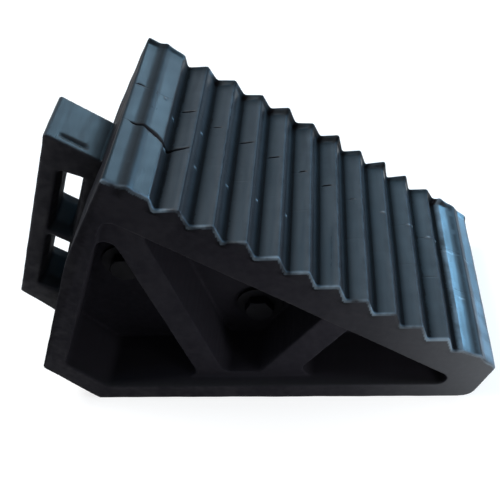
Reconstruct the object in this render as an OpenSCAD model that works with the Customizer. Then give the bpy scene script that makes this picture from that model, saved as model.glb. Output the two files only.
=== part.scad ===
// Wheel chock with a ribbed ramp, truss pockets in both sides and a grab handle at the back.
// Three rubber mouldings stand side by side: two side frames and, between them, a centre slab
// that carries the handle. Three tie bolts through the pockets hold them together.
// The chock stands on the ground, +Z up, its toe towards +X, and +Y across it.

/* [Body] */
// Width over both side frames
width = 134; // [120:1:150]
// Length of the flat sole, from the back edge to the toe
sole_length = 249; // [245:1:255]
// Height of the apex of the ramp above the ground
apex_height = 195; // [190:1:200]
// Distance of the apex in front of the back edge of the sole
apex_setback = 56; // [53:1:59]
// How far the nose stands out past the sole
nose_overhang = 13; // [8:1:16]
// Height of the nose above the ground
nose_height = 32; // [28:1:36]
// Angle of the upper part of the back wall to the ground
upper_back_angle = 57.2; // [55:0.2:58]
// Angle of the lower part of the back wall to the ground
lower_back_angle = 64.6; // [64:0.2:67]
// Angle of the chamfer under the back wall to the ground
chamfer_angle = 52.5; // [50:0.5:55]
// Length of that chamfer
chamfer_length = 47; // [44:0.5:49]

/* [Ribs] */
// Distance from one groove of the ramp to the next
rib_pitch = 20; // [19:0.5:20.5]
// Number of grooves across the ramp
groove_count = 11; // [9:1:11]
// Distance of the first groove from the apex
first_groove = 30.4; // [28:0.2:32]
// Height of a rib from groove to crest
rib_height = 7.3; // [4:0.1:8]
// Depth of a groove under the line from apex to nose
groove_depth = 3.6; // [1:0.2:4]
// Part of a pitch that the upper flank of a rib takes
upper_flank = 0.5; // [0.4:0.01:0.7]

/* [Side pockets] */
// Thickness of the rim along the ramp
ramp_rim = 24.6; // [20:0.2:28]
// Thickness of the rim along the ground
sole_rim = 14; // [10:1:17]
// Thickness of the rim along the back wall
back_rim = 13.2; // [10:0.2:15]
// Thickness of the rim along the chamfer
chamfer_rim = 16; // [12:0.5:18]
// Depth of the webs behind the face of the rim
web_recess = 8; // [4:1:14]
// Thickness of the wall at the bottom of the pockets
pocket_floor = 5; // [3:0.5:8]
// Width of the back web
back_web_width = 17.5; // [14:0.5:20]
// Width of the front web
front_web_width = 19.5; // [15:0.5:22]
// Radius of the corners of the pockets
pocket_radius = 6.5; // [4:0.5:7]

/* [Handle] */
// Thickness of the centre slab and of its handle
slab_width = 37; // [30:1:44]
// Distance of the handle's outer face from the lower back wall
handle_reach = 30; // [27:0.5:34]
// Thickness of the grip bar
grip_thickness = 13; // [9:0.5:14]
// Depth of the handle's top face under the ramp
handle_drop = 32.5; // [29:0.5:35]
// How far the handle's foot stands out past the chamfer
handle_foot = 4.2; // [0:0.2:6]
// Depth of the first window under the ramp
window_start = 55; // [52:1:60]
// Length of each window along the grip
window_length = 46; // [38:1:46]
// Thickness of the bar between the windows
window_bar = 8; // [6:0.5:10]

/* [Tie bolts] */
// Diameter of the bolts
bolt_d = 10; // [8:1:10]
// Diameter of the moulded bolt holes
bolt_hole_d = 11; // [10.5:0.1:12]
// Size of the bolt heads and nuts across their flats
hex_af = 17; // [15:1:19]
// Height of a bolt head
head_height = 6.4; // [5:0.2:8]
// Height of a lock nut
nut_height = 10; // [8:0.5:12]
// Diameter of the broad washers
washer_d = 30; // [24:1:32]
// Thickness of the washers
washer_t = 2.5; // [1.5:0.5:3]

/* [Hidden] */

$fn = 64;
arc_steps = 6;
rubber = "#24272b";
slab_rubber = "#2b2f34";
dark_steel = "#4a4a4c";
washer_steel = "#5b5b5d";

// Radii of the outer corners, of the handle and of its windows
toe_radius = 10;
nose_radius = 4;
apex_radius = 1;
knee_radius = 150;
heel_radius = 4;
handle_radius = 1.2;
window_radius = 2.5;
// How deep the handle's outline runs into the back wall
root_depth = 12;
// Distance of the windows from the back wall, half way through the slab
window_wall = 5;
// How much flatter than the ramp the head of the upper window runs
window_head_tilt = 12;
// How far the windows widen at the faces of the slab, how deep that runs and where its taper ends
window_flare = 2.5;
flare_depth = 9;
flare_end = -0.8;

// Flat on each crest and at the bottom of each groove, along the ramp
crest_flat = 1;
groove_flat = 0.4;
// Land between the apex and the first groove, as [distance from the apex, height over the ramp]
top_land = [[7.8, 0.5], [12.2, 3], [15.6, 2.2], [24.8, 2.1]];
// Rise out of the last groove, as [distance past its middle, height over the ramp]
nose_rise = [4.2, 0.4];
// Land between that rise and the nose, as [distance before the nose, height over the ramp]
nose_land = [[22.2, 0.9], [15.1, 2.8], [10.1, 0.8]];

// Where the webs stand on the sole, and their angles to the ground
back_web_foot = [81, 14];
back_web_angle = 101.2;
front_web_foot = [123, 14];
front_web_angle = 52;
// How far the bottom of the middle pocket stands over the floor of the recess
web_foot_rise = 4;

// The bolts' places in the side view, from the back edge of the sole
bolt_places = [["rear", [34, 92]], ["middle", [115, 48]], ["toe", [182, 36]]];
// Length of a bolt's end past its nut
bolt_end = 3;
// Play of a bolt in its nut and in its washers
nut_play = 0.02;
washer_play = 0.25;
// How far a cut runs past the face that it opens
open = 1;
// Thickness of the ends of a tapered cut
sliver = 0.05;
// Rake of the chamfer on the corners of a bolt head or nut
hex_chamfer = 30;
// Height of the smooth collar on top of a lock nut, and its share of the nut's width
collar_height = 3;
collar_share = 0.86;

side_width = (width - slab_width) / 2;

// Points and lines of the side view: x along the sole and y up. A line is [point, angle].
function unit(angle) = [cos(angle), sin(angle)];
function across(angle) = [-sin(angle), cos(angle)];
function moved(line, distance) = [line[0] + distance * across(line[1]), line[1]];
function meet(a, b) =
    a[0] + unit(a[1]) * cross(b[0] - a[0], unit(b[1])) / cross(unit(a[1]), unit(b[1]));
function wrapped(angle) = angle > 180 ? angle - 360 : angle < -180 ? angle + 360 : angle;
function direction(v) = atan2(v[1], v[0]);

// One corner of an outline, rounded to an arc that is tangent to both sides
function corner(before, point, after, radius) =
    let (
        a = (before - point) / norm(before - point),
        b = (after - point) / norm(after - point),
        half = acos(a * b) / 2,
        centre = point + (a + b) / norm(a + b) * radius / sin(half),
        from = direction(point + a * radius / tan(half) - centre),
        turn = wrapped(direction(point + b * radius / tan(half) - centre) - from)
    )
    [for (k = [0 : arc_steps]) centre + radius * unit(from + turn * k / arc_steps)];

// A closed outline with every corner rounded
function rounded(points, radius) =
    let (n = len(points))
    [for (i = [0 : n - 1])
        each corner(points[(i + n - 1) % n], points[i], points[(i + 1) % n], radius)];

// The main points and lines of the side view
apex = [apex_setback, apex_height];
nose = [sole_length + nose_overhang, nose_height];
ramp_angle = direction(nose - apex);
ramp_length = norm(nose - apex);
ramp_line = [apex, ramp_angle];
sole_line = [[0, 0], 0];
chamfer_line = [[0, 0], 180 - chamfer_angle];
heel = chamfer_length * unit(180 - chamfer_angle);
upper_back = [apex, upper_back_angle];
lower_back = [heel, lower_back_angle];
knee = meet(upper_back, lower_back);

// A point of the ramp, from its distance to the apex and its height over the line to the nose
function on_ramp(distance, height) = apex + distance * unit(ramp_angle) + height * across(ramp_angle);

// The grooves and ribs of the ramp, from the apex down to the nose
function groove_at(i) = first_groove + i * rib_pitch;
function groove_points(i) =
    [for (side = [-1, 1]) [groove_at(i) + side * groove_flat / 2, -groove_depth]];
function crest_points(i) =
    [for (side = [-1, 1])
        [groove_at(i) + upper_flank * rib_pitch + side * crest_flat / 2, rib_height - groove_depth]];
ramp_points = [
    each top_land,
    for (i = [0 : groove_count - 1])
        each i < groove_count - 1 ? concat(groove_points(i), crest_points(i)) : groove_points(i),
    [groove_at(groove_count - 1) + nose_rise[0], nose_rise[1]],
    for (land = nose_land) [ramp_length - land[0], land[1]]
];
ramp_outline = [for (p = ramp_points) on_ramp(p[0], p[1])];
ramp_last = len(ramp_outline) - 1;

// The outline of the body without its handle, anticlockwise from the back edge of the sole
body_outline = concat(
    [[0, 0]],
    corner([0, 0], [sole_length, 0], nose, toe_radius),
    corner([sole_length, 0], nose, ramp_outline[ramp_last], nose_radius),
    [for (i = [ramp_last : -1 : 0]) ramp_outline[i]],
    corner(ramp_outline[0], apex, knee, apex_radius),
    corner(apex, knee, heel, knee_radius),
    corner(knee, heel, [0, 0], heel_radius)
);

// The handle, from its top face down to the chamfer
handle_top = moved(ramp_line, -handle_drop);
handle_outer = moved(lower_back, handle_reach);
handle_bottom = moved(chamfer_line, handle_foot);
grip_inner = moved(handle_outer, -grip_thickness);
handle_root = moved(lower_back, -root_depth);
handle_head = meet(handle_top, handle_outer);
handle_tail = meet(handle_bottom, handle_outer);
handle_outline = concat(
    [meet(handle_top, handle_root)],
    corner(meet(handle_top, handle_root), handle_head, handle_tail, handle_radius),
    corner(handle_head, handle_tail, meet(handle_bottom, lower_back), handle_radius),
    [meet(handle_bottom, lower_back), meet(moved(chamfer_line, -root_depth), handle_root)]
);

// One of the two windows between the grip and the back wall, widened all round by a margin
function window_outline(i, margin) =
    let (
        level = moved(ramp_line, -window_start - i * (window_length + window_bar)),
        head = [meet(level, grip_inner), ramp_angle + (i == 0 ? window_head_tilt : 0)],
        top = moved(head, margin),
        bottom = moved(level, -window_length - margin),
        outer = moved(grip_inner, margin),
        inner = moved(lower_back, window_wall - margin)
    )
    rounded([meet(top, inner), meet(top, outer), meet(bottom, outer), meet(bottom, inner)], window_radius);

// The lines that the rim and the webs follow
rim_roof = moved(ramp_line, -ramp_rim);
rim_floor = moved(sole_line, sole_rim);
rim_back = moved(lower_back, -back_rim);
rim_chamfer = moved(chamfer_line, -chamfer_rim);
back_web = [back_web_foot, back_web_angle];
front_web = [front_web_foot, front_web_angle];
back_web_rear = moved(back_web, back_web_width / 2);
back_web_front = moved(back_web, -back_web_width / 2);
front_web_rear = moved(front_web, front_web_width / 2);
front_web_front = moved(front_web, -front_web_width / 2);
middle_floor = moved(rim_floor, web_foot_rise);

// The recess inside the rim, and the three pockets between the webs
recess_outline = rounded([meet(rim_chamfer, rim_floor), meet(rim_floor, rim_roof),
    meet(rim_roof, rim_back), meet(rim_back, rim_chamfer)], pocket_radius);
rear_pocket = rounded([meet(rim_chamfer, rim_floor), meet(rim_floor, back_web_rear),
    meet(back_web_rear, rim_back), meet(rim_back, rim_chamfer)], pocket_radius);
middle_pocket = rounded([meet(middle_floor, back_web_front), meet(middle_floor, front_web_rear),
    meet(front_web_rear, rim_roof), meet(rim_roof, back_web_front)], pocket_radius);
toe_pocket = rounded([meet(rim_floor, front_web_front), meet(rim_floor, rim_roof),
    meet(rim_roof, front_web_front)], pocket_radius);

// The middle of the whole object's length, which stands over the origin
xs = [for (p = concat(body_outline, handle_outline)) p[0]];
middle_x = (min(xs) + max(xs)) / 2;

// A plate of the side view's outline, from y0 to y0 + thickness
module plate(y0, thickness, points) {
    translate([-middle_x, y0 + thickness, 0])
        rotate([90, 0, 0])
            linear_extrude(thickness) polygon(points);
}

// A round bar along Y at a place of the side view
module bar(place, y0, length, d) {
    translate([place[0] - middle_x, y0 + length, place[1]])
        rotate([90, 0, 0]) cylinder(h = length, d = d);
}

module bolt_holes(y0, length) {
    for (bolt = bolt_places) bar(bolt[1], y0, length, bolt_hole_d);
}

// A hexagon along Y whose corners are turned off at its lower end or at both ends
module hexagon(place, y0, height, both_ends) {
    flat_r = hex_af / 2;
    corner_r = flat_r / cos(30);
    turned = (corner_r - flat_r) * tan(hex_chamfer);
    translate([place[0] - middle_x, y0, place[1]])
        rotate([-90, 0, 0])
            intersection() {
                cylinder(h = height, r = corner_r, $fn = 6);
                rotate_extrude()
                    polygon([[0, 0], [flat_r, 0], [corner_r, turned], [corner_r, height - turned],
                        [both_ends ? flat_r : corner_r, height], [0, height]]);
            }
}

// A side frame on the near side, with its pockets open towards -Y
module side_frame() {
    face = -width / 2;
    depth = side_width - pocket_floor;
    color(rubber)
        difference() {
            plate(face, side_width, body_outline);
            plate(face - open, web_recess + open, recess_outline);
            for (pocket = [rear_pocket, middle_pocket, toe_pocket])
                plate(face - open, depth + open, pocket);
            bolt_holes(face, side_width + open);
        }
}

module near_side_frame() {
    side_frame();
}

module far_side_frame() {
    mirror([0, 1, 0]) side_frame();
}

// A window through the slab, which tapers wider towards both faces
module window(i) {
    face = slab_width / 2;
    taper = window_flare / flare_depth;
    deep_end = face - flare_depth + flare_end / taper;
    plate(-face - open, slab_width + 2 * open, window_outline(i, 0));
    for (side = [0, 1])
        mirror([0, side, 0])
            hull() {
                plate(deep_end, sliver, window_outline(i, flare_end));
                plate(face + open, sliver, window_outline(i, window_flare + open * taper));
            }
}

// The centre slab with its handle
module centre_slab() {
    face = -slab_width / 2;
    color(slab_rubber)
        difference() {
            union() {
                plate(face, slab_width, body_outline);
                difference() {
                    plate(face, slab_width, handle_outline);
                    for (i = [0 : 1]) window(i);
                }
            }
            bolt_holes(face - open, slab_width + 2 * open);
        }
}

// Where the bolts' washers, heads and nuts sit along Y
clamp_face = slab_width / 2 + pocket_floor;
seat_face = clamp_face + washer_t;

module tie_bolt(place) {
    sunk = head_height / 2;
    color(dark_steel)
        union() {
            hexagon(place, -seat_face - head_height, head_height, false);
            bar(place, -seat_face - sunk, sunk + 2 * seat_face + nut_height + bolt_end, bolt_d);
        }
}

module washer(place, y0) {
    color(washer_steel)
        difference() {
            bar(place, y0, washer_t, washer_d);
            bar(place, y0 - open, washer_t + 2 * open, bolt_d + 2 * washer_play);
        }
}

// A lock nut: a hexagon with a smooth collar that holds its locking ring
module lock_nut(place) {
    hex_height = nut_height - collar_height;
    color(dark_steel)
        difference() {
            union() {
                hexagon(place, seat_face, hex_height, true);
                bar(place, seat_face + hex_height / 2, hex_height / 2 + collar_height, collar_share * hex_af);
            }
            bar(place, seat_face - open, nut_height + 2 * open, bolt_d + 2 * nut_play);
        }
}

near_side_frame();
centre_slab();
far_side_frame();
for (bolt = bolt_places) {
    tie_bolt(bolt[1]);
    washer(bolt[1], -seat_face);
    washer(bolt[1], clamp_face);
    lock_nut(bolt[1]);
}
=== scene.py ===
"""A black rubber wheel chock on a pale studio floor, built around its CAD model."""

import bpy
import numpy as np
from mathutils import Matrix, Vector


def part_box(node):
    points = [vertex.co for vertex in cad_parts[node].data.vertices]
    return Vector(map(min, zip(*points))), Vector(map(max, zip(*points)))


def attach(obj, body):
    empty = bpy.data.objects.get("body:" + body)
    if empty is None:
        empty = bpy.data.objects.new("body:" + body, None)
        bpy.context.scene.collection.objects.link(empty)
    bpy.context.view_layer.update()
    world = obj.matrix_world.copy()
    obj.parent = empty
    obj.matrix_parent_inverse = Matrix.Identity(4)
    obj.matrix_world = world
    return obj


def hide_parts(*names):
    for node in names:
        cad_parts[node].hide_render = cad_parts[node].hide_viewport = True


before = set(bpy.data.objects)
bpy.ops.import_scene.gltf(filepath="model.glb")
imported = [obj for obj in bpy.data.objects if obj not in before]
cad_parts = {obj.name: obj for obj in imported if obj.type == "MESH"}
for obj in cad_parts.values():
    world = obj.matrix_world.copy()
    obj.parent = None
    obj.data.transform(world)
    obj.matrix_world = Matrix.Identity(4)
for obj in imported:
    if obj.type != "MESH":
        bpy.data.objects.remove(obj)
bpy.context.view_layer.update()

MM = 0.001


# Main places of the model, read from the CAD nodes

def corners_of(node):
    """The points of a CAD node, as an array in metres."""
    points = np.empty(len(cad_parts[node].data.vertices) * 3)
    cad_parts[node].data.vertices.foreach_get("co", points)
    return points.reshape(-1, 3)


frame_points = corners_of("near_side_frame")
apex = frame_points[frame_points[:, 2].argmax()]
nose = frame_points[frame_points[:, 0].argmax()]
heel = frame_points[frame_points[:, 0].argmin()]
near_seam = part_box("centre_slab")[0].y
far_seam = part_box("centre_slab")[1].y
near_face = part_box("near_side_frame")[0].y
far_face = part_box("far_side_frame")[1].y

ramp_way = np.array([nose[0] - apex[0], 0, nose[2] - apex[2]])
ramp_length = np.linalg.norm(ramp_way)
ramp_way /= ramp_length
ramp_up = np.array([-ramp_way[2], 0, ramp_way[0]])
back_way = np.array([apex[0] - heel[0], 0, apex[2] - heel[2]])
back_way /= np.linalg.norm(back_way)
back_out = np.array([-back_way[2], 0, back_way[0]])


def along_ramp(points):
    """Distance of each point from the apex, down the ramp."""
    return (points - apex) @ ramp_way


def over_ramp(points):
    """Height of each point over the line from apex to nose."""
    return (points - apex) @ ramp_up


def behind_back(points):
    """Distance of each point behind the line from heel to apex."""
    return (points - heel) @ back_out


def to_side(points):
    """Distance of each point from the nearer of the chock's two side faces."""
    return np.minimum(points[:, 1] - near_face, far_face - points[:, 1])


# Heights over the line from apex to nose: the tread ends at a depth under it, the floors of its grooves lie
# under one level, and the crests of its ribs over another
TREAD_DEPTH = 6 * MM
GROOVE_LEVEL = -1 * MM
CREST_LEVEL = 2 * MM
# Share of the ramp's length after which no groove follows
GROOVES_END = 0.95
# Digits of a metre that are kept, so that the points of one edge share one place
PLACE_DIGITS = 5

tread_points = frame_points[over_ramp(frame_points) > -TREAD_DEPTH]
tread_points = tread_points[along_ramp(tread_points).argsort()]
tread_places = np.round(along_ramp(tread_points), PLACE_DIGITS)
tread_levels = over_ramp(tread_points)

# Both edges of each groove's floor and of each rib's crest
groove_places = np.unique(tread_places[tread_levels < GROOVE_LEVEL])
groove_places = groove_places[groove_places < GROOVES_END * ramp_length]
first_groove, last_groove = groove_places[0], groove_places[-1]
crest_places = np.unique(tread_places[tread_levels > CREST_LEVEL])
crest_places = crest_places[(crest_places > first_groove) & (crest_places < last_groove)]
groove_middles = groove_places.reshape(-1, 2).mean(1)
crest_middles = crest_places.reshape(-1, 2).mean(1)
top_ridge = tread_places[np.argmax(tread_levels * (tread_places < first_groove))]
nose_ridge = tread_places[np.argmax(tread_levels * (tread_places > last_groove))]


def tread_height(along):
    """Height of the tread over the line from apex to nose, at a distance down the ramp."""
    return np.interp(along, along_ramp(tread_points), tread_levels)


def nearness(along, places, reach):
    """1 at some places down the ramp, falling to 0 at about twice the reach from them."""
    distance = abs(along[:, None] - places[None, :]).min(1)
    return np.exp(-(distance / reach) ** 2)


def step(values, low, high):
    """0 under low, 1 over high, and a smooth rise between them."""
    t = np.clip((values - low) / (high - low), 0, 1)
    return t * t * (3 - 2 * t)


# A fine skin over each CAD solid of rubber, with soft edges and a slow ripple

# Size of the skin's cells, and the share of its faces that is kept in the end
SKIN_STEP = 0.75 * MM
FACES_KEPT = 0.33
# A side frame's skin reaches this far into the slab, so that a closed seam shows no light
SEAM_OVERLAP = 1.6 * MM
# Points nearer to a seam than this lie on it
SAME_PLANE = 0.01 * MM
# Rounds of smoothing everywhere, on the tread's rims and on the grip, and how far a point moves in each
EDGE_STEPS = 1
LIP_STEPS = 4
GRIP_STEPS = 5
SMOOTHING = 0.5
# Width and depth of the rims
LIP_WIDTH = 4 * MM
LIP_DEPTH = 12 * MM
# The handle's top lies less than this under the line of the ramp
HANDLE_DROP = 36 * MM
# The grip begins between these distances behind the back, and within a fade under the handle's top
GRIP_START = (4 * MM, 8 * MM)
GRIP_FADE = 6 * MM
# The ripple is a sum of waves, which a seed draws
RIPPLE_HEIGHT = 0.1 * MM
RIPPLE_COUNT = 9
RIPPLE_LENGTHS = (9 * MM, 40 * MM)
RIPPLE_SEED = 11


def new_object(name, data):
    """A new object in the scene, from a mesh, a lamp or a camera's lens."""
    thing = bpy.data.objects.new(name, data)
    bpy.context.scene.collection.objects.link(thing)
    return thing


def finished_mesh(thing):
    """The mesh of an object after its modifiers."""
    made = thing.evaluated_get(bpy.context.evaluated_depsgraph_get())
    return bpy.data.meshes.new_from_object(made)


def skin_over(node, seams):
    """A finely divided mesh of a CAD node, whose faces at the seams are moved into the slab."""
    source = new_object(node + "_source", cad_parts[node].data.copy())
    points = corners_of(node)
    for seam in seams:
        points[abs(points[:, 1] - seam) < SAME_PLANE, 1] -= np.sign(seam) * SEAM_OVERLAP
    source.data.vertices.foreach_set("co", points.ravel())
    remesh = source.modifiers.new("skin", "REMESH")
    remesh.mode = "VOXEL"
    remesh.voxel_size = SKIN_STEP
    mesh = finished_mesh(source)
    bpy.data.objects.remove(source)
    return mesh


def thinned(name, mesh):
    """An object of the mesh with fewer faces where it is flat."""
    piece = new_object(name, mesh)
    piece.modifiers.new("thin", "DECIMATE").ratio = FACES_KEPT
    thin_mesh = finished_mesh(piece)
    piece.modifiers.clear()
    piece.data = thin_mesh
    piece.data.name = name
    return piece


def vectors_of(items, name):
    """A vector property of a mesh's points or faces, as rows."""
    values = np.empty(len(items) * 3)
    items.foreach_get(name, values)
    return values.reshape(-1, 3)


def edges_of(mesh):
    """The two points of each edge of a mesh, as rows."""
    edges = np.empty(len(mesh.edges) * 2, int)
    mesh.edges.foreach_get("vertices", edges)
    return edges.reshape(-1, 2)


def neighbour_mean(values, edges):
    """The mean of each point's neighbours, for values in rows."""
    count = np.bincount(edges.ravel(), minlength=len(values))
    mean = np.empty_like(values)
    for column in range(values.shape[1]):
        mean[:, column] = np.bincount(edges[:, 0], values[edges[:, 1], column], len(values))
        mean[:, column] += np.bincount(edges[:, 1], values[edges[:, 0], column], len(values))
    return mean / np.maximum(count, 1)[:, None]


def relaxed(points, edges, share, steps):
    """Points moved towards the middle of their neighbours, by a share for each."""
    for _ in range(steps):
        points = points + SMOOTHING * share[:, None] * (neighbour_mean(points, edges) - points)
    return points


def lip_share(points):
    """1 on the rims of the tread along both sides of the chock, and 0 elsewhere."""
    at_side = 1 - step(to_side(points), LIP_WIDTH / 2, LIP_WIDTH)
    return at_side * step(over_ramp(points), -LIP_DEPTH, -LIP_DEPTH / 2)


def grip_share(points):
    """1 on the bar of the handle under its top, and 0 elsewhere."""
    under_top = step(-over_ramp(points), HANDLE_DROP, HANDLE_DROP + GRIP_FADE)
    return step(behind_back(points), *GRIP_START) * under_top


def soft_edges(points, edges):
    """Points with their edges rounded: a little everywhere, more on the tread's rims and on the grip."""
    points = relaxed(points, edges, np.ones(len(points)), EDGE_STEPS)
    points = relaxed(points, edges, lip_share(points), LIP_STEPS)
    return relaxed(points, edges, grip_share(points), GRIP_STEPS)


def ripple(points):
    """A slow unevenness of the surface, between about -1 and 1."""
    chance = np.random.default_rng(RIPPLE_SEED)
    total = np.zeros(len(points))
    for _ in range(RIPPLE_COUNT):
        way = chance.normal(size=3)
        wave_length = chance.uniform(*RIPPLE_LENGTHS)
        way *= 2 * np.pi / wave_length / np.linalg.norm(way)
        total += np.sin(points @ way + chance.uniform(0, 2 * np.pi))
    return total / np.sqrt(RIPPLE_COUNT)


# Marks of the moulding and of use that have a shape, as distances down the ramp and across it

# The near seam stands open from the top land to the first rib: [distance, sideways wander, width]
NEAR_CRACK = np.array([
    [-4, 2, 0], [3, 2.4, 0], [6, 2.8, 0.3], [12, 3.2, 1.5], [17, 2.4, 2.2], [21, 0.6, 2.1],
    [25, -2.2, 1.6], [27, -2.4, 1.5], [30, -1, 1.2], [33, 1.2, 1.2], [36, 2, 1.1], [38, 2.4, 0.7],
    [40, 2.5, 0], [50, 0, 0]]) * MM
# The far seam shows on single lands only: [distance, half length, width]
FAR_GAPS = np.array([
    [4, 3, 0.25], [35.5, 3.2, 0.4], [55, 2.4, 0.3], [75.5, 3.6, 0.4], [95, 3, 0.45], [116, 2, 0.35],
    [135, 3, 0.3], [155, 2, 0.2]]) * MM
FAR_WANDER = 0.7 * MM
FAR_WANDER_LENGTH = 3.1 * MM
# A seam moves the rubber beside it, and that fades out over these distances to its sides and these heights
# over the line of the ramp
SEAM_REACH = (2 * MM, 11 * MM)
SEAM_HEIGHTS = (-9 * MM, -3 * MM)
# Where a gap opens, the overlap is taken back, and all of it from this width on
OPEN_GAP = 0.3 * MM
# Small torn pips: [distance, place across], with their size and how far they reach under the surface
PIPS = np.array([
    [26.5, -24], [46, -25], [67, -26], [86, -26.5], [19.5, 16], [27.5, 6], [46, 5.6], [106, -27],
    [178, 18], [199, 18], [217, 18], [205, 22.5], [226, 21]]) * MM
PIP_HEIGHT = 0.8 * MM
PIP_LENGTH = 1.0 * MM
PIP_WIDTH = 0.7 * MM
PIP_DEPTH = 2 * MM
# The far rim of the tread stands up: by how much at the apex, in each groove, on each crest, and at the
# ridge and the end of the nose
FAR_APEX_LIFT = 1.8 * MM
FAR_GROOVE_LIFTS = np.array([0.5, 2.6, 2.8, 3.4, 3.6, 3.6, 1.8, 1.6, 0.8, 0.8, 4.2]) * MM
FAR_CREST_LIFTS = np.array([0.4, 1.3, 1.7, 3.2, 2.0, 3.8, 1.6, 3.4, 2.0, 0.9]) * MM
FAR_NOSE_LIFTS = np.array([0.2, 1.0]) * MM
# That lift grows between these distances from the far face and these heights over the line of the ramp
FAR_RIM = (5 * MM, 1 * MM)
FAR_RIM_HEIGHTS = (-2 * TREAD_DEPTH, -0.8 * TREAD_DEPTH)
# A shallow groove in the top of the handle, near its near edge, which fades in and out at its ends
HANDLE_GROOVE_START = (-26 * MM, -21 * MM)
HANDLE_GROOVE_END = (-10 * MM, -6 * MM)
HANDLE_GROOVE_PLACE = -12.6 * MM
HANDLE_GROOVE_WIDTH = 1.4 * MM
HANDLE_GROOVE_DEPTH = 1.2 * MM


def near_gap(along):
    """Sideways wander and gap of the near seam at a distance down the ramp."""
    distance, wander, width = NEAR_CRACK.T
    return np.interp(along, distance, wander), np.interp(along, distance, width)


def far_gap(along):
    """Sideways wander and gap of the far seam at a distance down the ramp."""
    gap = sum(width * np.exp(-((along - place) / length) ** 4) for place, length, width in FAR_GAPS)
    return FAR_WANDER * np.sin(along / FAR_WANDER_LENGTH), gap


def open_seams(points, node):
    """Points of the tread moved sideways, so that the seams show where they stand open."""
    points = points.copy()
    along = along_ramp(points)
    near_top = step(over_ramp(points), *SEAM_HEIGHTS)
    for seam, outward, shape in ((near_seam, -1, near_gap), (far_seam, 1, far_gap)):
        weight = near_top * (1 - step(abs(points[:, 1] - seam), *SEAM_REACH))
        move, gap = shape(along)
        if node != "centre_slab":
            move = move + outward * (gap + SEAM_OVERLAP * step(gap, 0, OPEN_GAP))
        points[:, 1] += weight * move
    return points


def far_rim_lift(points):
    """How far the far rim of the tread stands up, over the ramp."""
    places = np.concatenate([[0], groove_middles, crest_middles, [nose_ridge, ramp_length]])
    lifts = np.concatenate([[FAR_APEX_LIFT], FAR_GROOVE_LIFTS, FAR_CREST_LIFTS, FAR_NOSE_LIFTS])
    order = places.argsort()
    rise = np.interp(along_ramp(points), places[order], lifts[order])
    rim = step(points[:, 1], *(far_face - width for width in FAR_RIM))
    return rise * rim * step(over_ramp(points), *FAR_RIM_HEIGHTS)


def pip_share(points):
    """1 on top of a torn pip, falling to 0 round it."""
    along = along_ramp(points)
    total = np.zeros(len(points))
    for place, across in PIPS:
        shift = ((along - place) / PIP_LENGTH) ** 2 + ((points[:, 1] - across) / PIP_WIDTH) ** 2
        total += np.exp(-shift)
    return total * (over_ramp(points) > tread_height(along) - PIP_DEPTH)


def handle_groove(points):
    """1 along the middle of the groove in the handle's top, falling to 0 beside it."""
    along = along_ramp(points)
    length = step(along, *HANDLE_GROOVE_START) * (1 - step(along, *HANDLE_GROOVE_END))
    side = np.exp(-((points[:, 1] - HANDLE_GROOVE_PLACE) / HANDLE_GROOVE_WIDTH) ** 2)
    return length * side * (over_ramp(points) > -HANDLE_DROP)


# Marks that only have a colour, as shares from 0 to 1 for each point

# How far the marks of crests and of grooves reach along the ramp
CREST_REACH = 1.4 * MM
GROOVE_REACH = 3.3 * MM
# The painted shade of the last groove ends sharply where the nose begins
NOSE_START = (2 * MM, 2.8 * MM)
# Bands of painted shade before the ridge of the top land and before the ridge of the nose
TOP_DIP = 1.5 * MM
NOSE_DIP = 2.9 * MM
DIP_REACH = 2.6 * MM
DIP_SHARE = 0.78
# The nose has scuffs and a painted reflection on the rise from the last groove and past its ridge, most of
# all at its near end
RISE_END = (4.5 * MM, 6 * MM)
RISE_SCUFF_AND_HIGHLIGHT = 0.65
SCUFF_AND_HIGHLIGHT_START = (0.5 * MM, 3 * MM)
SCUFF_AND_HIGHLIGHT_REACH = (12 * MM, 90 * MM)
FAR_SCUFF_AND_HIGHLIGHT = 0.15
NEAR_SCUFF_AND_HIGHLIGHT = 0.7
# Width and depth of the painted highlight along the near edge
HIGHLIT_LIP = 1.8 * MM
# Pale scratches on the nose, down the ramp: [distance, place across, half length]
SCRATCHES = np.array([[236.7, 15.6, 4], [251.2, 15.1, 2.5], [240, -20.2, 2.5], [240, -23.5, 2]]) * MM
SCRATCH_WIDTH = 0.6 * MM
# Painted shade on the ribs reaches in from the far face
FAR_SHADE = 14 * MM
# Painted shade covers the back and the root of the handle too, between distances behind the back
BACK_SHADE = 0.6
BACK_START = (-1.5 * MM, -0.3 * MM)
BACK_END = (2 * MM, 4 * MM)
ROOT_START = (0, 1 * MM)
ROOT_END = (2 * MM, 18 * MM)
# The pockets begin inside the side faces, under the line of the ramp and before the back
POCKET_MOUTH = (1 * MM, 8 * MM)
POCKET_TOP = (14 * MM, 20 * MM)
POCKET_BACK = (0, 9 * MM)


def on_tread(points):
    """Whether each point belongs to the tread."""
    return over_ramp(points) > -TREAD_DEPTH


def crest_share(points):
    """1 on the crests of the ribs and on the ridges of the top land and the nose."""
    places = np.concatenate([crest_places, [top_ridge, nose_ridge]])
    return on_tread(points) * nearness(along_ramp(points), places, CREST_REACH)


def groove_dark(along):
    """1 in the grooves of the tread, falling to 0 beside them and at once on the nose."""
    return nearness(along, groove_places, GROOVE_REACH) * (1 - step(along - last_groove, *NOSE_START))


def groove_share(points):
    """Painted shade and dull roughness: 1 in the grooves of the tread, and less in the bands before its two
    ridges.
    """
    dips = np.array([top_ridge - TOP_DIP, nose_ridge - NOSE_DIP])
    dip = DIP_SHARE * nearness(along_ramp(points), dips, DIP_REACH)
    return on_tread(points) * np.maximum(groove_dark(along_ramp(points)), dip)


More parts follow.
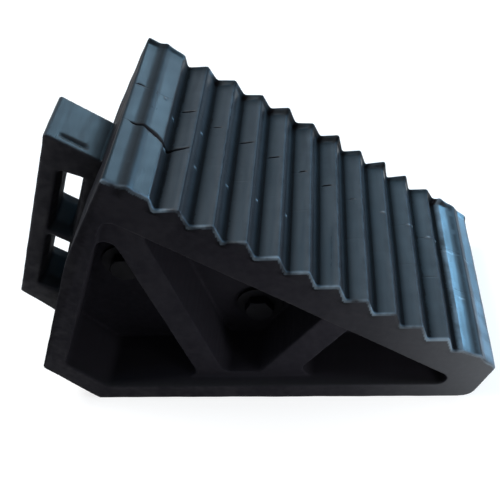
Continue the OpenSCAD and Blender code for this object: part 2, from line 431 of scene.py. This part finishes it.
def scuff_and_highlight_share(points):
    """1 along the tread's near edge, where a highlight is painted, and less on the nose, with its scuffs
    and painted reflection.
    """
    along, across = along_ramp(points), points[:, 1] - near_face
    on_top = over_ramp(points) > tread_height(along) - HIGHLIT_LIP
    edge = 1 - step(across, HIGHLIT_LIP / 2, HIGHLIT_LIP)
    rise = step(along - last_groove, *NOSE_START) * (1 - step(along - last_groove, *RISE_END))
    nose_scuff_and_highlight = FAR_SCUFF_AND_HIGHLIGHT + (NEAR_SCUFF_AND_HIGHLIGHT - FAR_SCUFF_AND_HIGHLIGHT) * (1 - step(across, *SCUFF_AND_HIGHLIGHT_REACH))
    nose_scuff_and_highlight = np.maximum(step(along - nose_ridge, *SCUFF_AND_HIGHLIGHT_START) * nose_scuff_and_highlight, RISE_SCUFF_AND_HIGHLIGHT * rise)
    return on_top * np.maximum(edge, nose_scuff_and_highlight)


def scratch_share(points):
    """1 along the scratches on the nose, falling to 0 beside them."""
    total = np.zeros(len(points))
    for place, across, length in SCRATCHES:
        ends = ((along_ramp(points) - place) / length) ** 4
        total += np.exp(-ends - ((points[:, 1] - across) / SCRATCH_WIDTH) ** 2)
    return total * on_tread(points)


def shade_share(points, node):
    """1 where shade is painted: near the far face of the ribs, at the handle's root and in the groove of
    its top, and less on the back.
    """
    behind = behind_back(points)
    back = BACK_SHADE * step(behind, *BACK_START)
    if node == "centre_slab":
        root = step(behind, *ROOT_START) * (1 - step(behind, *ROOT_END))
        back = back * (1 - step(behind, *BACK_END))
        return np.maximum(np.maximum(root, back), handle_groove(points))
    on_ribs = on_tread(points) & (along_ramp(points) < last_groove)
    return np.maximum(on_ribs * (1 - step(far_face - points[:, 1], 0, FAR_SHADE)), back)


def recess_share(points, node):
    """Painted light in the pockets: 1 deep inside the pockets of a side frame, falling to 0 at its outside.
    """
    if node == "centre_slab":
        return np.zeros(len(points))
    under_tread = step(-over_ramp(points), *POCKET_TOP)
    return step(to_side(points), *POCKET_MOUTH) * under_tread * step(-behind_back(points), *POCKET_BACK)


def give_values(mesh, node):
    """Gives the points of a mesh the shares that its materials read."""
    points = vectors_of(mesh.vertices, "co")
    shares = {
        "crest": crest_share(points),
        "groove": groove_share(points),
        "shade": shade_share(points, node),
        "pip": pip_share(points) + scratch_share(points),
        "recess": recess_share(points, node),
        "lip": scuff_and_highlight_share(points),
    }
    for name, values in shares.items():
        made = mesh.attributes.new(name, "FLOAT", "POINT")
        made.data.foreach_set("value", values.astype(np.float32))


# Material nodes

def new_material(name):
    """A new material, its node tree and its shader."""
    material = bpy.data.materials.new(name)
    material.use_nodes = True
    return material, material.node_tree, material.node_tree.nodes["Principled BSDF"]


def new_node(tree, kind, **sockets):
    """A shader node whose inputs are set, or linked where the value is a socket."""
    made = tree.nodes.new("ShaderNode" + kind)
    for name, value in sockets.items():
        socket = made.inputs[name.replace("_", " ")]
        if isinstance(value, bpy.types.NodeSocket):
            tree.links.new(value, socket)
        else:
            socket.default_value = value
    return made


def noise(tree, place, scale, detail):
    """Noise from 0 to 1 at a place."""
    return new_node(tree, "TexNoise", Vector=place, Scale=scale, Detail=detail).outputs["Fac"]


def ranged(tree, value, low, high, to_low=0.0, to_high=1.0):
    """A value between low and high, brought into another range."""
    ends = {"From_Min": low, "From_Max": high, "To_Min": to_low, "To_Max": to_high}
    return new_node(tree, "MapRange", Value=value, **ends).outputs["Result"]


def joined(tree, operation, a, b):
    """One number from two, by a named operation."""
    made = tree.nodes.new("ShaderNodeMath")
    made.operation = operation
    tree.links.new(a, made.inputs[0])
    tree.links.new(b, made.inputs[1])
    return made.outputs[0]


def product(tree, a, b):
    """The product of two numbers."""
    return joined(tree, "MULTIPLY", a, b)


def larger(tree, a, b):
    """The larger of two numbers."""
    return joined(tree, "MAXIMUM", a, b)


def mixed(tree, share, a, b):
    """A colour between a and b. Each is a colour or a socket."""
    made = tree.nodes.new("ShaderNodeMix")
    made.data_type = "RGBA"
    tree.links.new(share, made.inputs[0])
    for socket, value in ((made.inputs[6], a), (made.inputs[7], b)):
        if isinstance(value, bpy.types.NodeSocket):
            tree.links.new(value, socket)
        else:
            socket.default_value = (*value, 1)
    return made.outputs[2]


def attribute(tree, name):
    """A share that give_values has put on the mesh."""
    made = tree.nodes.new("ShaderNodeAttribute")
    made.attribute_name = name
    return made.outputs["Fac"]


def times(colour, share):
    """A colour made brighter or darker."""
    return tuple(share * part for part in colour)


# Rubber and steel

DUST_AND_LIGHT = (0.082, 0.084, 0.089)
SCUFF_AND_HIGHLIGHT_COLOUR = (0.15, 0.19, 0.225)
PIP_COLOUR = (0.17, 0.18, 0.19)
# Brightness of worn crests against the bloom and sheen, and of painted shade and of the painted light in
# pockets against the black
CREST_TONE = 1.5
SHADE_TONE = 0.3
POCKET_TONE = 1.2
# Dust and painted light lie on the sides of the toe, thicker towards the nose
TOE_DUST_AND_LIGHT = (0.1 * nose[0], nose[0])
# Roughness of the grooves, and how far the crests come near to it
DULL_ROUGHNESS = 0.9
CREST_DULL = 0.85
# Parts of the normal between which a face comes to look up, and squares of it for faces that look aside
LOOKS_UP = (0.25, 0.85)
LOOKS_ASIDE = (0.5, 0.9)
# Scale and detail of each noise. The streaks are long across the chock
PATCH_NOISE = (22, 4)
STREAK_NOISE = (260, 4)
STREAK_STRETCH = (1, 0.1, 1)
GRAIN_NOISE = (700, 5)
WEAR_NOISE = (90, 5)
LIP_PATCH_NOISE = (60, 4)
COAT_NOISE = (300, 4)
SHINE_NOISE = (120, 3)
# The range of a noise that counts, followed by what it becomes where that isn't 0 to 1
WEAR_RANGE = (0.35, 0.75)
LIP_PATCH_RANGE = (0.35, 0.6)
BLOOM_AND_SHEEN_PATCHES = (0.2, 0.6, 0.65, 1)
BLOOM_AND_SHEEN_STREAKS = (0.3, 0.7, 0.75, 1.2)
ROUGH_PATCHES = (0.3, 0.7, 0.85, 1.3)
ROUGH_STREAKS = (0.3, 0.7, 0.85, 1.25)
STEEL_ROUGHNESS = (0.3, 0.7, 0.5, 0.7)
# Both noises of the roughness together stay under this
MOST_UNEVEN = 2
# Strength and height of the rubber's grain, and how much the steel reflects
GRAIN_STRENGTH = 0.12
GRAIN_HEIGHT = 0.2 * MM
STEEL_SPECULAR = 0.06


def rubber_colour(tree, spot, patches, streaks, black, bloom_and_sheen):
    """Black rubber: bloom and painted sheen on top, worn crests, painted shade and highlights, dust and
    painted light on the toe.
    """
    normal = tree.nodes.new("ShaderNodeTexCoord").outputs["Normal"]
    look = new_node(tree, "SeparateXYZ", Vector=normal).outputs
    # Faces that look up are paler: a bloom on the rubber, and painted sheen from the light above
    facing_up = ranged(tree, look["Z"], *LOOKS_UP)
    facing_side = ranged(tree, product(tree, look["Y"], look["Y"]), *LOOKS_ASIDE)
    patchy_bloom_and_sheen = product(tree, ranged(tree, patches, *BLOOM_AND_SHEEN_PATCHES), ranged(tree, streaks, *BLOOM_AND_SHEEN_STREAKS))
    colour = mixed(tree, product(tree, facing_up, patchy_bloom_and_sheen), black, bloom_and_sheen)
    wear = ranged(tree, noise(tree, spot, *WEAR_NOISE), *WEAR_RANGE)
    colour = mixed(tree, product(tree, attribute(tree, "crest"), wear), colour, times(bloom_and_sheen, CREST_TONE))
    # Painted shade in the grooves and in the bands before the two ridges
    colour = mixed(tree, attribute(tree, "groove"), colour, times(black, SHADE_TONE))
    toe = ranged(tree, new_node(tree, "SeparateXYZ", Vector=spot).outputs["X"], *TOE_DUST_AND_LIGHT)
    # Dust and painted light on the sides of the toe
    colour = mixed(tree, product(tree, facing_side, product(tree, toe, toe)), colour, DUST_AND_LIGHT)
    # Painted light in the pockets: their black made a little paler
    colour = mixed(tree, attribute(tree, "recess"), colour, times(black, POCKET_TONE))
    # Painted shade near the far face, on the back, at the handle's root and in its groove
    colour = mixed(tree, attribute(tree, "shade"), colour, times(black, SHADE_TONE))
    patchy_lip = ranged(tree, noise(tree, spot, *LIP_PATCH_NOISE), *LIP_PATCH_RANGE)
    # Painted highlight along the near edge, and scuffs with a painted reflection on the nose
    colour = mixed(tree, product(tree, attribute(tree, "lip"), patchy_lip), colour, SCUFF_AND_HIGHLIGHT_COLOUR)
    return mixed(tree, attribute(tree, "pip"), colour, PIP_COLOUR)


def rubber_roughness(tree, patches, streaks, roughness):
    """Uneven roughness round a mean, with dull grooves and crests."""
    uneven = product(tree, ranged(tree, patches, *ROUGH_PATCHES), ranged(tree, streaks, *ROUGH_STREAKS))
    rough = ranged(tree, uneven, 0, MOST_UNEVEN, 0, MOST_UNEVEN * roughness)
    crest = ranged(tree, attribute(tree, "crest"), 0, 1, 0, CREST_DULL)
    dull = larger(tree, crest, attribute(tree, "groove"))
    return mixed(tree, dull, rough, (DULL_ROUGHNESS,) * 3)


def rubber_material(name, black, bloom_and_sheen, specular, roughness, tint=(1, 1, 1)):
    """Moulded rubber with patches, streaks along the ribs and a fine grain."""
    material, tree, shader = new_material(name)
    spot = tree.nodes.new("ShaderNodeTexCoord").outputs["Object"]
    patches = noise(tree, spot, *PATCH_NOISE)
    stretched = new_node(tree, "Mapping", Vector=spot, Scale=STREAK_STRETCH).outputs["Vector"]
    streaks = noise(tree, stretched, *STREAK_NOISE)
    colour = rubber_colour(tree, spot, patches, streaks, black, bloom_and_sheen)
    tree.links.new(colour, shader.inputs["Base Color"])
    tree.links.new(rubber_roughness(tree, patches, streaks, roughness), shader.inputs["Roughness"])
    shader.inputs["Specular IOR Level"].default_value = specular
    shader.inputs["Specular Tint"].default_value = (*tint, 1)
    grain = noise(tree, spot, *GRAIN_NOISE)
    bump = new_node(tree, "Bump", Strength=GRAIN_STRENGTH, Distance=GRAIN_HEIGHT, Height=grain)
    tree.links.new(bump.outputs["Normal"], shader.inputs["Normal"])
    return material


def coated_steel(name, dark, light):
    """Steel under a thin black coat."""
    material, tree, shader = new_material(name)
    spot = tree.nodes.new("ShaderNodeTexCoord").outputs["Object"]
    colour = mixed(tree, noise(tree, spot, *COAT_NOISE), dark, light)
    tree.links.new(colour, shader.inputs["Base Color"])
    roughness = ranged(tree, noise(tree, spot, *SHINE_NOISE), *STEEL_ROUGHNESS)
    tree.links.new(roughness, shader.inputs["Roughness"])
    shader.inputs["Specular IOR Level"].default_value = STEEL_SPECULAR
    return material


satin = rubber_material(
    "satin_rubber", black=(0.009, 0.0092, 0.0105), bloom_and_sheen=(0.036, 0.0375, 0.0403),
    specular=0.17, roughness=0.3)
# A darker, duller copy of the satin rubber for the risers and groove floors: painted shade
flank = rubber_material(
    "flank_rubber", black=(0.01, 0.0085, 0.0095), bloom_and_sheen=(0.013, 0.012, 0.013),
    specular=0.12, roughness=0.28, tint=(1, 0.7, 0.62))
matt = rubber_material(
    "matt_rubber", black=(0.0165, 0.0152, 0.0195), bloom_and_sheen=(0.018, 0.018, 0.02),
    specular=0.05, roughness=0.65)
# A paler copy of the matt rubber for the centre slab: painted light on the handle's shaded faces
handle_matt = rubber_material(
    "handle_rubber", black=(0.022, 0.0205, 0.025), bloom_and_sheen=(0.024, 0.024, 0.026),
    specular=0.12, roughness=0.6)
bolt_steel = coated_steel(
    "black_bolt_steel", dark=(0.0062, 0.006, 0.0076), light=(0.009, 0.0088, 0.0105))
washer_steel = coated_steel(
    "black_washer_steel", dark=(0.0085, 0.0082, 0.01), light=(0.0118, 0.0115, 0.0135))


# Pieces: the mouldings replace their CAD nodes, and the hardware keeps its own

# A side frame is satin down to this depth under the line of the ramp
SATIN_DEPTH = 20 * MM
# A face looks sideways or forward from these parts of its normal on, and away from the ramp under this one
SIDEWAYS = 0.75
FORWARD = 0.8
AWAY = 0.15
# A face lies in a groove from this share of the groove's dark on
GROOVE_FLOOR = 0.8


def paint(mesh, node):
    """Satin rubber on the lands and the handle's top, a darker copy of it on the risers and groove floors,
    and duller rubber elsewhere.
    """
    normals = vectors_of(mesh.polygons, "normal")
    middles = vectors_of(mesh.polygons, "center")
    turned_away = (abs(normals[:, 1]) > SIDEWAYS) | (normals @ ramp_up < AWAY)
    low = over_ramp(middles) < -(HANDLE_DROP if node == "centre_slab" else SATIN_DEPTH)
    in_groove = groove_dark(along_ramp(middles)) > GROOVE_FLOOR
    flanks = on_tread(middles) & ((normals[:, 0] > FORWARD) | in_groove)
    kind = np.where(turned_away | low, 2, np.where(flanks, 1, 0))
    mesh.materials.clear()
    for material in (satin, flank, handle_matt if node == "centre_slab" else matt):
        mesh.materials.append(material)
    mesh.polygons.foreach_set("material_index", kind.astype(np.int32))


def moulding(name, node, seams):
    """A rubber piece that stands for a CAD node."""
    mesh = skin_over(node, seams)
    points = soft_edges(vectors_of(mesh.vertices, "co"), edges_of(mesh))
    mesh.vertices.foreach_set("co", points.ravel())
    mesh.update()
    moved = open_seams(points, node)
    height = RIPPLE_HEIGHT * ripple(points) + PIP_HEIGHT * pip_share(moved)
    if node == "centre_slab":
        height -= HANDLE_GROOVE_DEPTH * handle_groove(points)
    points = moved + vectors_of(mesh.vertices, "normal") * height[:, None]
    points = points + ramp_up * far_rim_lift(points)[:, None]
    mesh.vertices.foreach_set("co", points.ravel())

    piece = thinned(name, mesh)
    give_values(piece.data, node)
    piece.data.shade_smooth()
    paint(piece.data, node)
    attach(piece, "root")
    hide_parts(node)


moulding("near_frame_rubber", "near_side_frame", [near_seam])
moulding("centre_slab_rubber", "centre_slab", [])
moulding("far_frame_rubber", "far_side_frame", [far_seam])

for node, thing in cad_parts.items():
    if node.endswith(("tie_bolt", "lock_nut", "washer")):
        thing.data.materials.clear()
        thing.data.materials.append(washer_steel if node.endswith("washer") else bolt_steel)


# Studio: floor, light and camera

# The lamps look at this point
AIM = Vector((0.02, 0, 0.09))
FLOOR_SIZE = 12
FLOOR_GREY = (0.3, 0.3, 0.3, 1)
# The floor's glow grows between two distances from the chock
GLOW_DISTANCES = (0.5, 2.5)
GLOW_STRENGTHS = (0.78, 0.98)
# The room is white at the horizon and dimmer and bluer overhead, between two heights of the sky
FILL_LIGHT = (0.15, 0.15, 0.15)
HORIZON = (1, 1, 1)
CEILING = (0.18, 0.29, 0.38)
SKY_HEIGHTS = (0.05, 0.4)

# The camera was solved from edges in the photo: its place, the way it looks and the way to its right
CAMERA_PLACE = Vector((0.0665, -0.3176, 0.4019))
CAMERA_LOOK = Vector((-0.1345, 0.6888, -0.7124))
CAMERA_RIGHT = Vector((0.9904, 0.0694, -0.1199))
CAMERA_LENS = 49.9
SENSOR_WIDTH = 36


def seen_directly(tree):
    """1 for rays from the camera and from mirrors and glass, and 0 for light on matt surfaces."""
    path = tree.nodes.new("ShaderNodeLightPath")
    total = path.outputs["Is Camera Ray"]
    for kind in ("Is Glossy Ray", "Is Transmission Ray"):
        total = larger(tree, total, path.outputs[kind])
    return total


def floor_material():
    """A pale floor, whose own glow makes up for the lamps' light where that fades far from the chock."""
    material, tree, shader = new_material("studio_floor")
    tree.nodes.remove(shader)
    matt_floor = new_node(tree, "BsdfDiffuse", Color=FLOOR_GREY)
    spread = tree.nodes.new("ShaderNodeVectorMath")
    spread.operation = "LENGTH"
    tree.links.new(tree.nodes.new("ShaderNodeTexCoord").outputs["Object"], spread.inputs[0])
    strength = ranged(tree, spread.outputs["Value"], *GLOW_DISTANCES, *GLOW_STRENGTHS)
    glow = new_node(tree, "Emission", Strength=product(tree, seen_directly(tree), strength))
    both = tree.nodes.new("ShaderNodeAddShader")
    tree.links.new(matt_floor.outputs[0], both.inputs[0])
    tree.links.new(glow.outputs[0], both.inputs[1])
    tree.links.new(both.outputs[0], tree.nodes["Material Output"].inputs["Surface"])
    return material


def add_floor():
    """The floor under the chock, which isn't part of it."""
    bpy.ops.mesh.primitive_plane_add(size=FLOOR_SIZE, location=(0, 0, 0))
    floor = bpy.context.object
    floor.name = "floor"
    floor.data.materials.append(floor_material())


def add_room():
    """The world's light, and what mirrors and the camera see of it."""
    world = bpy.data.worlds.new("studio")
    bpy.context.scene.world = world
    world.use_nodes = True
    sky = world.node_tree
    way = sky.nodes.new("ShaderNodeTexCoord").outputs["Generated"]
    height = new_node(sky, "SeparateXYZ", Vector=way).outputs["Z"]
    shown = mixed(sky, ranged(sky, height, *SKY_HEIGHTS), HORIZON, CEILING)
    light = mixed(sky, seen_directly(sky), FILL_LIGHT, shown)
    sky.links.new(light, sky.nodes["Background"].inputs["Color"])


def softbox(name, azimuth, elevation, distance, size, radiance, colour):
    """A square lamp that looks at the chock. Azimuth runs from +X to +Y, in degrees."""
    a, e = np.radians([azimuth, elevation])
    place = AIM + distance * Vector((np.cos(a) * np.cos(e), np.sin(a) * np.cos(e), np.sin(e)))
    lamp = bpy.data.lights.new(name, "AREA")
    lamp.shape = "SQUARE"
    lamp.size = size
    lamp.energy = radiance * np.pi * size ** 2
    lamp.color = colour
    thing = new_object(name, lamp)
    thing.location = place
    thing.rotation_mode = "QUATERNION"
    thing.rotation_quaternion = (AIM - place).to_track_quat("-Z", "Y")


def add_camera():
    """The camera that sees the chock as the photo does."""
    lens = bpy.data.cameras.new("camera")
    lens.lens = CAMERA_LENS
    lens.sensor_width = SENSOR_WIDTH
    camera = new_object("camera", lens)
    back = -CAMERA_LOOK.normalized()
    right = (CAMERA_RIGHT - CAMERA_RIGHT.dot(back) * back).normalized()
    turn = Matrix((right, back.cross(right), back)).transposed().to_4x4()
    camera.matrix_world = Matrix.Translation(CAMERA_PLACE) @ turn
    bpy.context.scene.camera = camera


add_floor()
add_room()
# Each lamp's name, azimuth, elevation, distance, size, radiance and colour
softbox("key", 176, 63, 1.5, 0.5, 25.5, (0.97, 0.99, 1))
softbox("low_window", 35, 3, 1.0, 0.36, 24, (0.24, 0.62, 1))
softbox("middle_window", 41, 21, 1.0, 0.2, 15, (0.24, 0.62, 1))
softbox("high_window", 63, 30, 1.0, 0.4, 8.5, (0.42, 0.74, 1))
softbox("sky_card", 94, 60, 1.0, 0.35, 3, (0.1, 0.6, 1))
softbox("overhead", 200, 85, 1.2, 0.4, 6, (0.5, 0.75, 1))
softbox("toe_fill", -45, -6, 0.29, 0.08, 14, (0.95, 0.98, 1))
add_camera()
bpy.context.scene.view_settings.view_transform = "Standard"
